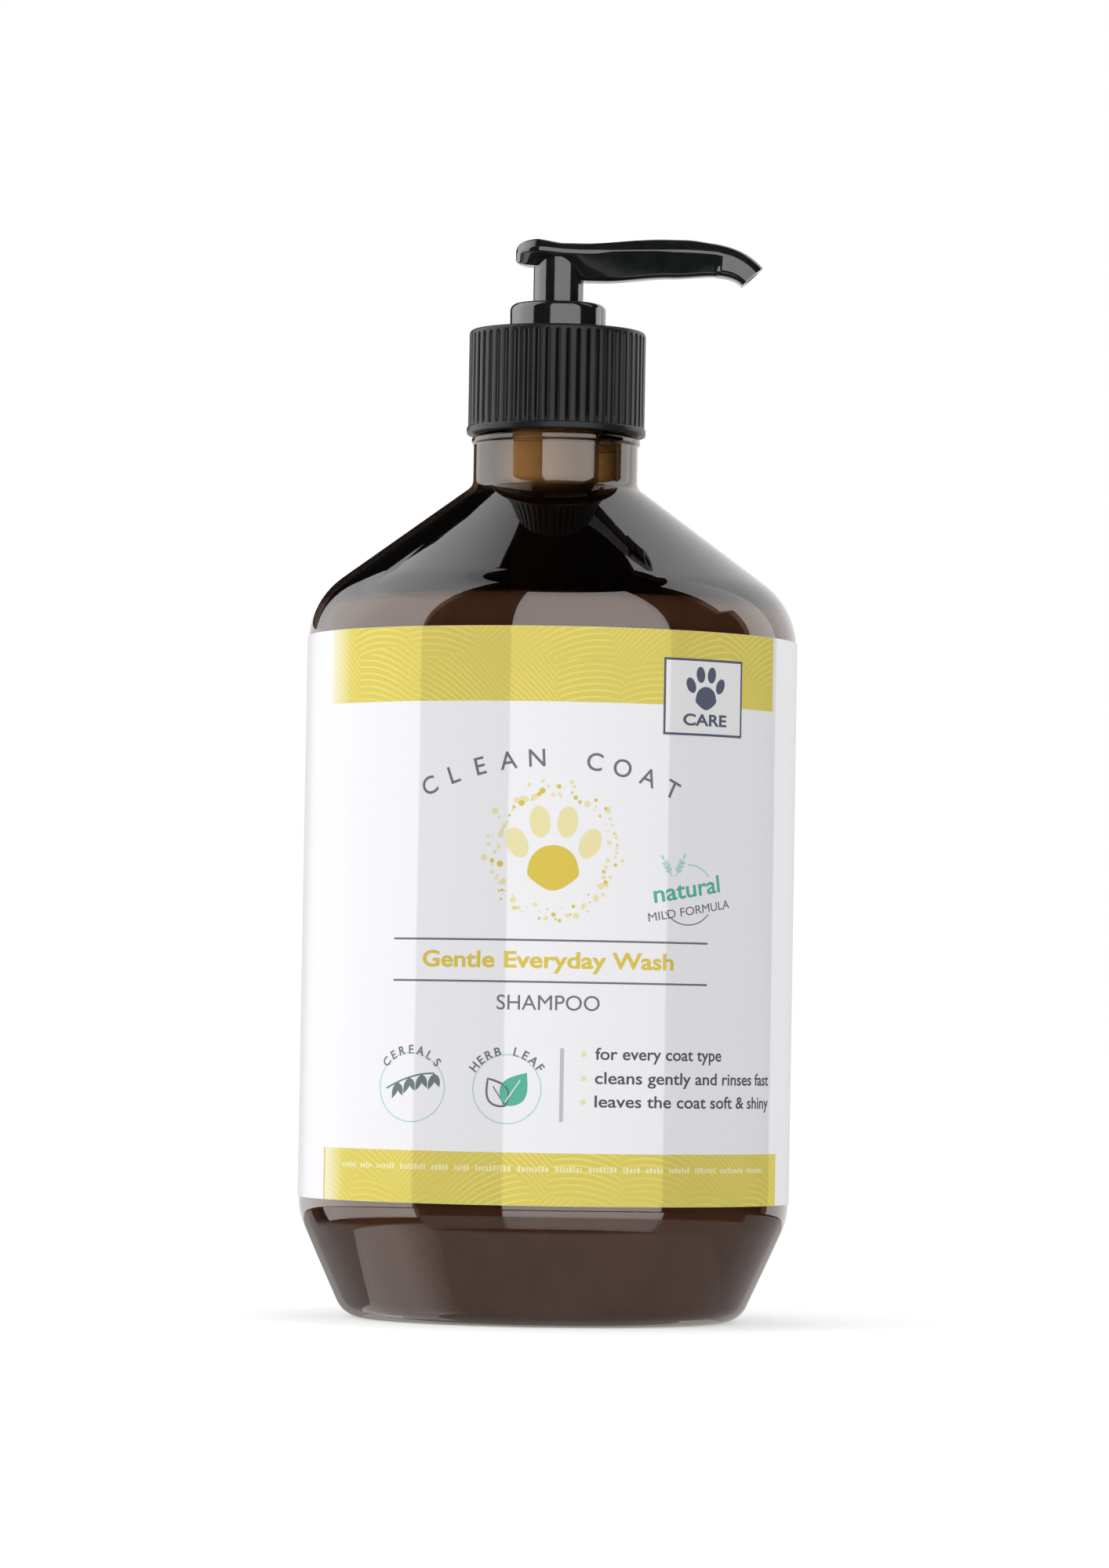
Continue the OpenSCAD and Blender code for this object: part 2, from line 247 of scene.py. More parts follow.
class Graph:
    """Short calls for building a node material."""

    def __init__(self, name):
        self.material = bpy.data.materials.new(name)
        self.material.use_nodes = True
        self.tree = self.material.node_tree
        self.tree.nodes.clear()
        self.output = self.tree.nodes.new("ShaderNodeOutputMaterial")
        coords = self.tree.nodes.new("ShaderNodeTexCoord")
        self.mm = self.scaled(coords.outputs["Object"], 1 / MM)

    def add(self, kind, props=None, **inputs):
        """Adds a node. Inputs are named, with _ for a space, or numbered i0, i1 and so on."""
        node = self.tree.nodes.new("ShaderNode" + kind)
        for key, value in (props or {}).items():
            setattr(node, key, value)
        for key, value in inputs.items():
            numbered = key[0] == "i" and key[1:].isdigit()
            self.put(node.inputs[int(key[1:]) if numbered else key.replace("_", " ")], value)
        return node

    def scaled(self, vector, factor):
        return self.add("VectorMath", {"operation": "SCALE"}, Vector=vector, Scale=factor).outputs[0]

    def put(self, socket, value):
        if isinstance(value, bpy.types.NodeSocket):
            self.tree.links.new(value, socket)
        elif socket.type == "RGBA" and len(value) == 3:
            socket.default_value = (*value, 1)
        else:
            socket.default_value = value

    def math(self, operation, a, b=0.0):
        return self.add("Math", {"operation": operation}, i0=a, i1=b).outputs[0]

    def noise(self, scale, detail=3.0, rough=0.5, vector=None, distortion=0.0):
        return self.add("TexNoise", Vector=vector or self.mm, Scale=scale, Detail=detail,
                        Roughness=rough, Distortion=distortion).outputs["Fac"]

    def ramp(self, value, low, high, to_low=0.0, to_high=1.0, smooth=False):
        props = {"interpolation_type": "SMOOTHSTEP"} if smooth else {}
        return self.add("MapRange", props, Value=value, From_Min=low, From_Max=high,
                        To_Min=to_low, To_Max=to_high).outputs[0]

    def mix(self, factor, a, b):
        return self.add("Mix", {"data_type": "RGBA"}, i0=factor, i6=a, i7=b).outputs[2]

    def bump(self, height, strength, distance):
        return self.add("Bump", Height=height, Strength=strength, Distance=distance).outputs[0]

    def split(self, vector=None):
        return self.add("SeparateXYZ", Vector=vector or self.mm).outputs

    def stretched(self, x, y, z):
        return self.add("VectorMath", {"operation": "MULTIPLY"}, i0=self.mm, i1=(x, y, z)).outputs[0]

    def mirror(self, at_front, at_edge):
        """Share of light a clear surface reflects, from straight on to along the edge."""
        facing = self.add("LayerWeight", Blend=0.5).outputs["Facing"]
        rise = self.math("MULTIPLY", self.math("POWER", facing, 5.0), at_edge)
        return self.math("ADD", rise, at_front)

    def surface(self, shader):
        self.tree.links.new(shader.outputs[0], self.output.inputs["Surface"])
        return self.material

    def layered(self, share, under, over):
        """The surface shows over by its share and under for the rest."""
        return self.surface(self.add("MixShader", i0=share, i1=under.outputs[0], i2=over.outputs[0]))


def amber_wall():
    """Thin tinted PET: looks straight through, darker at grazing angles, with clear reflections. Its
    tint carries painted shade above the liquid and painted light in the neck.
    """
    g = Graph("amber_pet")
    z = g.split()[2]
    painted_shade_above_liquid = g.ramp(z, FILL_Z - 0.1, FILL_Z + 0.3)
    neck = g.ramp(z, NECK_Z0, NECK_Z1, 0, 1, True)
    cloud = g.ramp(g.noise(0.06, 3.0), 0.3, 0.7, 0.94, 1.04)
    # Painted shade: above the liquid the wall takes a near-black tint.
    tint = g.mix(painted_shade_above_liquid, (0.53, 0.44, 0.39), (0.18, 0.13, 0.10))
    # Painted light: the neck takes a lighter, more orange tint.
    tint = g.scaled(g.mix(neck, tint, (0.60, 0.50, 0.38)), cloud)
    facing = g.add("LayerWeight", Blend=0.5).outputs["Facing"]
    edge = g.mix(neck, (0.10, 0.06, 0.04), (0.30, 0.24, 0.18))
    neck_edge = g.math("MULTIPLY", g.ramp(facing, 0.12, 0.5, 0, 1, True), neck)
    any_edge = g.math("MULTIPLY", g.math("POWER", facing, 3.0), 0.7)
    tint = g.mix(g.math("MAXIMUM", any_edge, neck_edge), tint, edge)
    through = g.add("BsdfTransparent", Color=tint)
    ripple = g.bump(g.noise(0.045, 2.0, 0.4, g.stretched(1, 1, 0.35)), 0.06, 0.001)
    haze = g.ramp(g.noise(0.4, 4.0), 0.35, 0.75, 0.012, 0.035)
    gloss = g.add("BsdfGlossy", Color=(1, 1, 1), Roughness=haze, Normal=ripple)
    return g.layered(g.mirror(0.05, 0.95), through, gloss)


def shampoo_liquid():
    """Thick, faintly swirled cream."""
    g = Graph("shampoo_liquid")
    swirl = g.noise(0.05, 5.0, 0.6, g.stretched(1, 1, 0.4), 1.5)
    base = g.mix(g.ramp(swirl, 0.3, 0.7), (0.62, 0.52, 0.46), (0.78, 0.68, 0.60))
    rough = g.ramp(swirl, 0.3, 0.7, 0.25, 0.4)
    return g.surface(g.add("BsdfPrincipled", Base_Color=base, Roughness=rough, Sheen_Weight=0.15,
                           Specular_IOR_Level=0.3))


def film(name, color, pattern=None):
    """Glossy label film. Its reflections take the colour of the print, as they do on a pearly film."""
    g = Graph(name)
    fibre = g.noise(2.5, 4.0, 0.6)
    tone = pattern(g, color) if pattern else color
    base = g.scaled(tone, g.ramp(fibre, 0.3, 0.7, 0.985, 1.01))
    matte = g.add("BsdfDiffuse", Color=base, Roughness=0.3)
    gloss = g.add("BsdfGlossy", Color=base, Roughness=g.ramp(fibre, 0.3, 0.7, 0.03, 0.07),
                  Normal=g.bump(g.noise(0.05, 2.0), 0.04, 0.001))
    return g.layered(g.mirror(0.058, 0.9), matte, gloss)


def leaf_lines(g, color):
    """Fine curved strokes in patches that lean different ways, like overlapping palm leaves, with a pale
    painted highlight over the left end.
    """
    pitch, bow_share = 1.0, 0.035
    x, y, z = g.split()
    around = g.math("MULTIPLY", g.math("ARCTAN2", x, g.math("MULTIPLY", y, -1.0)), LABEL_R)
    flat = g.add("CombineXYZ", X=around, Y=z, Z=0.0).outputs[0]
    patch = g.add("TexVoronoi", {"voronoi_dimensions": "2D"}, Vector=flat, Scale=0.085, Randomness=0.9)
    from_middle = g.add("VectorMath", {"operation": "SUBTRACT"}, i0=flat, i1=patch.outputs["Position"])
    px, py, _ = g.split(from_middle.outputs[0])
    lean = g.ramp(g.split(patch.outputs["Color"])[0], 0, 1, -1.2, 1.2)
    bow = g.math("MULTIPLY", g.math("MULTIPLY", px, px), bow_share)
    along = g.math("ADD", g.math("ADD", py, g.math("MULTIPLY", px, lean)), bow)
    wave = g.math("SINE", g.math("MULTIPLY", along, TAU / pitch))
    line = g.ramp(wave, 0.35, 0.95, 0, 1, True)
    seam = g.ramp(patch.outputs["Distance"], 0.2, 0.75, 1.0, 0.35)
    pale = [min(1, c * 1.10 + 0.015) for c in color]
    deep = [c * 0.95 for c in color]
    leafy = g.mix(g.math("MULTIPLY", line, seam), deep, pale)
    # Towards the left end the print gives way to a pale painted highlight.
    return g.mix(g.ramp(around, HIGHLIGHT_X0, HIGHLIGHT_X1), PAINTED_HIGHLIGHT, leafy)


def satin_black():
    """Satin black closure: fine moulding grain, and rib tops rubbed a little paler and smoother."""
    g = Graph("closure_satin_black")
    x, y, _ = g.split()
    radius = g.math("SQRT", g.math("ADD", g.math("MULTIPLY", x, x), g.math("MULTIPLY", y, y)))
    rib_top = g.ramp(radius, CLOSURE_R - 0.35, CLOSURE_R, 0, 1)
    fine = g.noise(6.0, 3.0, 0.6)
    rubbed = g.math("MULTIPLY", rib_top, g.ramp(g.noise(0.2, 4.0, 0.6), 0.35, 0.7, 0.3, 1.0))
    base = g.mix(rubbed, (0.005, 0.0055, 0.0055), (0.011, 0.012, 0.012))
    rough = g.math("ADD", g.ramp(fine, 0.3, 0.7, 0.30, 0.38), g.math("MULTIPLY", rib_top, -0.04))
    return g.surface(g.add("BsdfPrincipled", Base_Color=base, Roughness=rough, Specular_IOR_Level=0.16,
                           Normal=g.bump(fine, 0.25, 0.00001)))


def gloss_black():
    """Glossy black polypropylene with faint flow ripples and handling haze."""
    g = Graph("pump_gloss_black")
    fine = g.noise(5.0, 4.0, 0.65)
    smear = g.noise(0.35, 5.0, 0.7)
    base = g.mix(g.ramp(smear, 0.3, 0.7), (0.006, 0.007, 0.007), (0.012, 0.013, 0.013))
    rough = g.math("ADD", g.ramp(smear, 0.4, 0.75, 0.06, 0.14), g.ramp(fine, 0.3, 0.7, -0.01, 0.02))
    height = g.math("ADD", g.noise(0.25, 2.0, 0.5), g.math("MULTIPLY", fine, 0.02))
    return g.surface(g.add("BsdfPrincipled", Base_Color=base, Roughness=rough, Specular_IOR_Level=0.65,
                           Normal=g.bump(height, 0.08, 0.0003)))


def milky(name, color, rough=0.38):
    """Unpigmented plastic: waxy, slightly see-through, with faint flow marks."""
    g = Graph(name)
    flow = g.noise(0.5, 4.0, 0.6, g.stretched(1, 1, 0.2))
    base = g.mix(g.ramp(flow, 0.3, 0.7), [c * 0.93 for c in color], color)
    skin = g.add("BsdfPrincipled", Base_Color=base, Roughness=g.ramp(flow, 0.3, 0.7, rough, rough + 0.1),
                 Specular_IOR_Level=0.45, Normal=g.bump(flow, 0.1, 0.00005))
    glow = g.add("BsdfTranslucent", Color=base)
    return g.layered(0.3, skin, glow)


def steel(name):
    """Bright steel with fine wear."""
    g = Graph(name)
    wear = g.noise(9.0, 3.0, 0.6)
    base = g.mix(g.ramp(wear, 0.3, 0.7), (0.50, 0.50, 0.51), (0.66, 0.66, 0.67))
    rough = g.ramp(wear, 0.3, 0.7, 0.2, 0.34)
    return g.surface(g.add("BsdfPrincipled", Base_Color=base, Metallic=1.0, Roughness=rough,
                           Normal=g.bump(wear, 0.15, 0.00001)))


def foam():
    """Closed-cell foam: small round pits."""
    g = Graph("gasket_foam")
    cells = g.add("TexVoronoi", Vector=g.mm, Scale=4.0).outputs["Distance"]
    base = g.mix(g.ramp(cells, 0.0, 0.6), (0.70, 0.70, 0.67), (0.86, 0.86, 0.84))
    return g.surface(g.add("BsdfPrincipled", Base_Color=base, Roughness=0.85,
                           Normal=g.bump(cells, 0.6, 0.0001)))


WHITE = (0.735, 0.73, 0.75)
YELLOW = (0.632, 0.541, 0.130)

# A pale painted highlight covers the bands' left ends and gives way to the print between these two
# distances round the label.
PAINTED_HIGHLIGHT = (0.72, 0.70, 0.55)
HIGHLIGHT_X0, HIGHLIGHT_X1 = LABEL_R * math.radians(-61.5), LABEL_R * math.radians(-53.0)

AMBER = amber_wall()
LIQUID = shampoo_liquid()
FILM = film("label_film_white", WHITE)
INK_COLORS = {
    "yellow": (0.61, 0.48, 0.085),
    "pale": (0.68, 0.62, 0.27),
    "sand": (0.70, 0.64, 0.36),
    "navy": (0.10, 0.11, 0.16),
    "grey": (0.09, 0.09, 0.10),
    "slate": (0.16, 0.16, 0.175),
    "green": (0.10, 0.40, 0.29),
    "moss": (0.15, 0.19, 0.18),
    "mist": (0.38, 0.58, 0.55),
    "silver": (0.46, 0.46, 0.48),
    "cream": (0.72, 0.68, 0.38),
    "white": (0.72, 0.72, 0.72),
}
INKS = {ink: film("label_print_" + ink, color) for ink, color in INK_COLORS.items()}
INKS["band"] = film("label_print_band", YELLOW, leaf_lines)
SATIN = satin_black()
GLOSS = gloss_black()
NATURAL = milky("natural_polypropylene", (0.86, 0.86, 0.83))
PISTON = milky("piston_ldpe", (0.78, 0.81, 0.86), 0.3)


# ---------- bottle, label and shampoo ----------

TAPER_IN = math.sqrt(1 + TAPER * TAPER)
SLOPE_IN = math.sqrt(1 + SLOPE * SLOPE)
ROUND = 256


def shell(t):
    """Corners (radius, height, rounding) of the bottle's wall at distance t inside its outer surface."""
    return [
        (FOOT_R - t, t, 0.8),
        (BODY_R - TAPER * TAPER_TOP - TAPER_IN * t + TAPER * t, t, 4.5 - t / 2),
        (BODY_R - t, TAPER_TOP + (TAPER_IN - 1) * t / TAPER, 11 - t),
        (BODY_R - t, SHOULDER_Z - (SLOPE_IN - 1) * t / SLOPE, 12.6 - t),
        (NECK_R - t, SHOULDER_Z + (BODY_R - NECK_R - (SLOPE_IN - 1) * t) / SLOPE, 2 + t),
    ]


def build_bottle():
    """The amber wall, inside and out, with its transfer bead and threaded finish."""
    outer = [(0, PUSHUP, 0)] + shell(0) + [
        (NECK_R, BEAD_Z, 0.2), (BEAD_R, BEAD_Z, 0.3), (BEAD_R, NECK_RING_Z, 0.4),
        (FINISH_R, NECK_RING_Z, 0.3), (FINISH_R, LIP_Z, 0.4)]
    inner = [(0, PUSHUP + WALL, 0)] + shell(WALL) + [
        (NECK_R - WALL, NECK_RING_Z - 1.2, 0.3), (FINISH_BORE_R, NECK_RING_Z - 1.2, 0.3),
        (FINISH_BORE_R, LIP_Z, 0.3)]
    wall = revolve(outline(outer + inner[::-1], closed=False, steps=14), ROUND, closed=False)
    ridge = sweep(thread_sections(FINISH_R - 0.3, THREAD_R, THREAD_Z))
    verts, faces = merge(wall, ridge)
    bottle = new_object("bottle_wall", verts, faces, "bottle", AMBER)
    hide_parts("bottle")


def thread_sections(r0, r1, z0):
    """Cross-sections of a right-hand thread from r0 to its crest at r1. It fades out at both ends."""
    root_w, crest_w = 1.9, 0.9
    n = round(THREAD_TURNS * 72) + 1
    fade = 12
    sections = []
    for i in range(n):
        k = min(1, (i + 1) / fade, (n - i) / fade)
        a = TAU * THREAD_TURNS * i / (n - 1)
        z = z0 + PITCH * THREAD_TURNS * i / (n - 1)
        r = r0 + (r1 - r0) * k
        ring = [(r0, z - root_w / 2), (r, z - crest_w / 2), (r, z + crest_w / 2), (r0, z + root_w / 2)]
        sections.append([(q * math.cos(a), q * math.sin(a), h) for q, h in ring])
    return sections


def build_shampoo():
    """The liquid, up to its level, with a meniscus at the wall and a clear bore around the pump."""
    t = WALL + 0.05
    corners = [(0, PUSHUP + t, 0)] + shell(t) + [(NECK_R - t, NECK_RING_Z, 0)]
    full = outline(corners, closed=False, steps=14)
    side = [p for p in full if p[1] < FILL_Z]
    (r0, z0), (r1, z1) = side[-1], full[len(side)]
    edge = r0 + (r1 - r0) * (FILL_Z - z0) / (z1 - z0)
    dip = 0.7
    curve = ((0, 0), (0.5, 0.5), (1.5, 0.9), (3, 1))
    meniscus = [(edge - back, FILL_Z - down * dip) for back, down in curve]
    tube_r, tail_r, barrel_r = 3.15, 4.25, 7.05
    tail_z, barrel_z = 83.85, 94.5
    bore = [(barrel_r, FILL_Z - dip), (barrel_r, barrel_z), (tail_r, barrel_z), (tail_r, tail_z),
            (tube_r, tail_z), (tube_r, PUSHUP + t)]
    verts, faces = revolve(side[1:] + meniscus + bore, ROUND, closed=True)
    liquid = new_object("shampoo_fill", verts, faces, "bottle", LIQUID)
    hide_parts("shampoo")


# Half of the open strip at the back of the label, as an angle.
GAP_HALF = math.asin(1.5 / LABEL_R)


def curved_sheet(x0, x1, z0, z1, r0, r1, columns):
    """A closed curved slab between two arc lengths from the front, in millimetres."""
    sections = []
    for i in range(columns + 1):
        a = (x0 + (x1 - x0) * i / columns) / LABEL_R
        ring = [(r0, z0), (r1, z0), (r1, z1), (r0, z1)]
        sections.append([(r * math.sin(a), -r * math.cos(a), z) for r, z in ring])
    return sweep(sections)


def build_label():
    """The film wrapped round the bottle, with an open strip at the back."""
    half = (math.pi - GAP_HALF) * LABEL_R
    verts, faces = curved_sheet(-half, half, LABEL_Z0, LABEL_Z1, BODY_R + 0.02, LABEL_R, 256)
    label = new_object("wrap_label_film", verts, faces, "bottle", FILM, 30)
    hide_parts("wrap_label")


# ---------- label print ----------
# Flat artwork is drawn in millimetres, x along the label from the middle of its front and y up, as
# polygons. Each is cut into narrow strips, wrapped on the label and closed into a thin raised layer.

PRINT = {}
LETTERS = []
LAYER = 0.02
STRIP = 1.2


def add_print(ink, polygons, layer=1):
    """Keeps polygons to be printed with an ink. A higher layer stands further out."""
    PRINT.setdefault((ink, layer), []).extend(polygons)


def flat_to_solid(mesh_2d, height):
    """Wraps a flat bmesh on the label and gives it a thickness."""
    xs = [v.co.x for v in mesh_2d.verts]
    if not xs:
        return [], []
    x = math.ceil(min(xs) / STRIP) * STRIP
    while x < max(xs):
        everything = mesh_2d.verts[:] + mesh_2d.edges[:] + mesh_2d.faces[:]
        bmesh.ops.bisect_plane(mesh_2d, geom=everything, plane_co=(x, 0, 0), plane_no=(1, 0, 0),
                               dist=1e-5)
        x += STRIP
    mesh_2d.verts.index_update()
    n = len(mesh_2d.verts)
    verts = []
    for r in (LABEL_R - 0.01, LABEL_R + height):
        for v in mesh_2d.verts:
            a = v.co.x / LABEL_R
            verts.append((r * math.sin(a), -r * math.cos(a), v.co.y))
    faces = []
    for face in mesh_2d.faces:
        ids = [v.index for v in face.verts]
        faces.append([i + n for i in ids])
        faces.append(ids[::-1])
    for edge in mesh_2d.edges:
        if len(edge.link_faces) == 1:
            loop = edge.link_loops[0]
            a, b = loop.vert.index, loop.link_loop_next.vert.index
            faces.append([a, b, b + n, a + n])
    return verts, faces


def polygons_to_bmesh(polygons):
    """A flat bmesh with one face for each polygon, all facing up."""
    bm = bmesh.new()
    for polygon in polygons:
        bm.faces.new([bm.verts.new((x, y, 0)) for x, y in polygon])
    bmesh.ops.recalc_face_normals(bm, faces=bm.faces)
    for face in bm.faces:
        if face.normal.z < 0:
            face.normal_flip()
    return bm


def disc(x, y, r, n):
    return [(x + r * math.cos(TAU * k / n), y + r * math.sin(TAU * k / n)) for k in range(n)]


def oval(x, y, rx, ry, turn=0.0, n=28):
    c, s = math.cos(turn), math.sin(turn)
    points = [(rx * math.cos(TAU * k / n), ry * math.sin(TAU * k / n)) for k in range(n)]
    return [(x + p * c - q * s, y + p * s + q * c) for p, q in points]


def bar(x0, y0, x1, y1):
    return [(x0, y0), (x1, y0), (x1, y1), (x0, y1)]


def stroke(points, width):
    """A ribbon of even width along a line of points, as one polygon."""
    left, right = [], []
    for i, p in enumerate(points):
        a = Vector(points[max(0, i - 1)])
        b = Vector(points[min(len(points) - 1, i + 1)])
        d = (b - a).normalized() * width / 2
        left.append((p[0] - d.y, p[1] + d.x))
        right.append((p[0] + d.y, p[1] - d.x))
    return left + right[::-1]


def arc(x, y, r, a0, a1, n):
    angles = [a0 + (a1 - a0) * k / n for k in range(n + 1)]
    return [(x + r * math.cos(a), y + r * math.sin(a)) for a in angles]


def leaf(x, y, length, width, turn, n=12):
    """A pointed leaf that grows from (x, y) in the given direction."""
    c, s = math.cos(turn), math.sin(turn)
    side = [(length * k / n, width / 2 * math.sin(math.pi * (k / n) ** 0.8)) for k in range(n + 1)]
    loop = side + [(p, -q) for p, q in side[-2:0:-1]]
    return [(x + p * c - q * s, y + p * s + q * c) for p, q in loop]


def text_mesh(body, size, weight):
    """Flat faces of generic lettering in the built-in font, centred on its baseline."""
    curve = bpy.data.curves.new("lettering", "FONT")
    curve.body = body
    curve.size = size
    curve.offset = weight
    curve.align_x = "CENTER"
    curve.resolution_u = 6
    holder = place("lettering", curve)
    bpy.context.view_layer.update()
    evaluated = holder.evaluated_get(bpy.context.evaluated_depsgraph_get())
    mesh = bpy.data.meshes.new_from_object(evaluated)
    bm = bmesh.new()
    bm.from_mesh(mesh)
    bmesh.ops.remove_doubles(bm, verts=bm.verts, dist=1e-4)
    for face in bm.faces:
        if face.normal.z < 0:
            face.normal_flip()
    bpy.data.objects.remove(holder)
    bpy.data.meshes.remove(mesh)
    bpy.data.curves.remove(curve)
    return bm


def letter(ink, body, x, y, size, weight=0.0, turn=0.0, fit=None, left=False, layer=1):
    """Sets a word at (x, y). fit is the width it is scaled to, and left sets it from its left end."""
    bm = text_mesh(body, size, weight)
    xs = [v.co.x for v in bm.verts]
    width = max(xs) - min(xs)
    grow = fit / width if fit else 1.0
    shift = -min(xs) if left else -(max(xs) + min(xs)) / 2
    c, s = math.cos(turn), math.sin(turn)
    for v in bm.verts:
        p, q = (v.co.x + shift) * grow, v.co.y
        v.co = (x + p * c - q * s, y + p * s + q * c, 0)
    LETTERS.append((ink, layer, bm))


def arched(ink, body, x, y, radius, size, step, weight=0.0, layer=1):
    """Letters set one by one along an arc whose top is at (x, y)."""
    half = (len(body) - 1) / 2
    for i, glyph in enumerate(body):
        if glyph == " ":
            continue
        a = (i - half) * step / radius
        letter(ink, glyph, x + radius * math.sin(a), y - radius + radius * math.cos(a), size, weight,
               turn=-a, layer=layer)


def draw_bands():
    """Leafy bands along the top and bottom edges. The bottom one has an edge line and a row of ticks."""
    left = HIGHLIGHT_X0
    top_right, bottom_right = LABEL_R * math.radians(62.5), LABEL_R * math.radians(68.5)
    bottom_high = LABEL_Z0 + 8.1
    add_print("band", [bar(left, LABEL_Z1 - 11.6, top_right, LABEL_Z1 - 0.02)])
    add_print("band", [bar(left, LABEL_Z0 + 0.02, bottom_right, bottom_high)])
    add_print("yellow", [bar(left, LABEL_Z0 + 0.02, left + 0.35, bottom_high)], 2)
    y = bottom_high - 2.9
    rng = random.Random(7)
    x = HIGHLIGHT_X1
    while x < bottom_right - 6:
        word = x + rng.uniform(2.0, 6.0)
        while x < word:
            w = rng.uniform(0.25, 0.5)
            add_print("cream", [bar(x, y, x + w, y + rng.choice((0.7, 0.9)))], 2)
            x += w + 0.18
        x += 0.9


def draw_framed_mark():
    """A plain paw over a plain word, in a box."""
    x0, x1 = LABEL_R * math.radians(26.3), LABEL_R * math.radians(49.2)
    y1 = LABEL_Z1 - 4.3
    y0 = y1 - 11.9
    line = 0.35
    low, high = y0 + line, y1 - line
    add_print("white", [bar(x0, y0, x1, y1)], 2)
    add_print("navy", [bar(x0, y0, x1, low), bar(x0, high, x1, y1), bar(x0, low, x0 + line, high),
                       bar(x1 - line, low, x1, high)], 3)
    middle = (x0 + x1) / 2
    paw("navy", middle, y0 + 7.3, 3.9, 3)
    letter("navy", "CARE", middle, y0 + 1.6, 2.5, 0.06, fit=8.6, layer=3)


def paw(ink, x, y, r, layer, toe_ink=None):
    """A generic paw print, r from its middle to the tips of its toes."""
    pad = []
    n = 48
    for k in range(n):
        a = TAU * k / n
        up = math.sin(a)
        wide = 0.50 + 0.10 * ease(-up, -0.2, 0.8)
        high = 0.46 if up > 0 else 0.40 - 0.10 * math.cos(a) ** 2 + 0.06 * math.cos(2 * a) ** 2
        pad.append((x + wide * r * math.cos(a), y - 0.38 * r + high * r * up))
    add_print(ink, [pad], layer)
    toe_spots = ((-0.74, 0.12, 0.45), (-0.28, 0.55, 0.12), (0.28, 0.55, -0.12), (0.74, 0.12, -0.45))
    toes = [oval(x + p * r, y + q * r, 0.21 * r, 0.32 * r, turn) for p, q, turn in toe_spots]
    add_print(toe_ink or ink, toes, layer)


def draw_emblem():
    """A paw in a wreath of loose dots."""
    x, y, ring = 0.7, 73.4, 9.8
    paw("yellow", x, y + 0.3, 7.6, 1, "sand")
    rng = random.Random(11)
    count = 112
    for k in range(count):
        a = TAU * k / count + rng.uniform(-0.04, 0.04)
        r = ring + rng.uniform(-1.4, 1.2)
        size = rng.choice((0.14, 0.18, 0.22, 0.28, 0.34, 0.48))
        ink = rng.choice(("yellow", "sand", "sand"))
        add_print(ink, [disc(x + r * math.cos(a), y + r * math.sin(a), size, 14)])


def draw_titles():
    """An arched heading, and two lines of words between and under two rules."""
    arched("slate", "CLEAN COAT", 0.2, 86.4, 44.0, 3.9, 4.35, 0.02)
    for y in (59.7, 53.3):
        add_print("slate", [bar(-25.4, y - 0.15, 26.8, y + 0.15)])
    letter("yellow", "Gentle Everyday Wash", 0.2, 55.5, 3.5, 0.08, fit=40.4)
    letter("slate", "SHAMPOO", 0.3, 49.0, 3.3, 0.0, fit=15.9)


def sprig(ink, x, y, size, turn, layer=1, pairs=4):
    """A stem with paired leaves."""
    c, s = math.cos(turn), math.sin(turn)
    stem = [(x + size * k / 10 * c, y + size * k / 10 * s) for k in range(11)]
    add_print(ink, [stroke(stem, 0.16)], layer)
    for k in range(pairs):
        t = 0.25 + 0.65 * k / pairs
        px, py = x + size * t * c, y + size * t * s
        for side in (-1, 1):
            add_print(ink, [leaf(px, py, size * 0.3, size * 0.13, turn + side * 0.75)], layer)
    add_print(ink, [leaf(x + size * c, y + size * s, size * 0.3, size * 0.13, turn)], layer)


def draw_stamp():
    """A green leaf sprig over a few plain words and two curved strokes."""
    x, y = 23.3, 67.0
    tilt = 0.16
    sprig("mist", x - 3.4, y + 2.9, 3.0, 2.1, pairs=3)
    sprig("mist", x - 2.8, y + 2.9, 3.2, 1.1, pairs=3)
    letter("green", "natural", x - 0.2, y - 0.2, 3.8, 0.05, turn=tilt, fit=12.5)
    letter("slate", "MILD FORMULA", x + 0.4, y - 2.9, 1.9, 0.0, turn=tilt, fit=15.6)
    add_print("slate", [stroke(arc(x - 0.4, y + 0.9, 5.4, -2.45, -0.75, 24), 0.16)])
    add_print("mist", [stroke(arc(x - 0.4, y - 0.6, 5.4, 0.75, 1.6, 16), 0.2)])


def draw_icons():
    """Two ringed pictures, grain and leaves, with words arched over them.

    The left ring is drawn wide, as it sits further round the bottle.
    """
    left, right, y = -21.8, -5.9, 36.8
    for x, word, step, wide in ((left, "CEREALS", 1.55, 1.12), (right, "HERB LEAF", 1.33, 1.0)):
        ring = oval(x, y, 5.3 * wide, 5.3, n=96)
        add_print("mist", [stroke(ring + ring[:1], 0.16)])
        arched("slate", word, x, y + 5.2, 5.8, 1.9, step, 0.035)
    grain("moss", left, y - 0.2)
    x = right - 0.2
    add_print("green", [leaf(x - 0.3, y - 2.5, 6.2, 4.2, 0.95)])
    add_print("white", [stroke([(x, y - 2.0), (x + 2.3, y + 1.4)], 0.16)], 2)
    loop = leaf(x, y - 2.6, 5.0, 3.4, 2.15)
    vein = [(x - 0.1, y - 2.4), (x - 1.9, y + 0.4)]
    add_print("slate", [stroke(loop + loop[:1], 0.32), stroke(vein, 0.18)])


def grain(ink, x, y):
    """An ear of grain: a bent stem with hanging seeds."""
    stem = [(x - 4.6 + 8.8 * t / 12, y - 0.8 + 3.2 * math.sin(0.25 + 1.35 * t / 12)) for t in range(13)]
    add_print(ink, [stroke(stem, 0.24)])
    for t in (3, 6, 9, 12):
        px, py = stem[t]
        for turn, length in ((-2.0, 2.7), (-1.15, 2.2)):
            add_print(ink, [leaf(px, py - 0.1, length, 1.0, turn)])


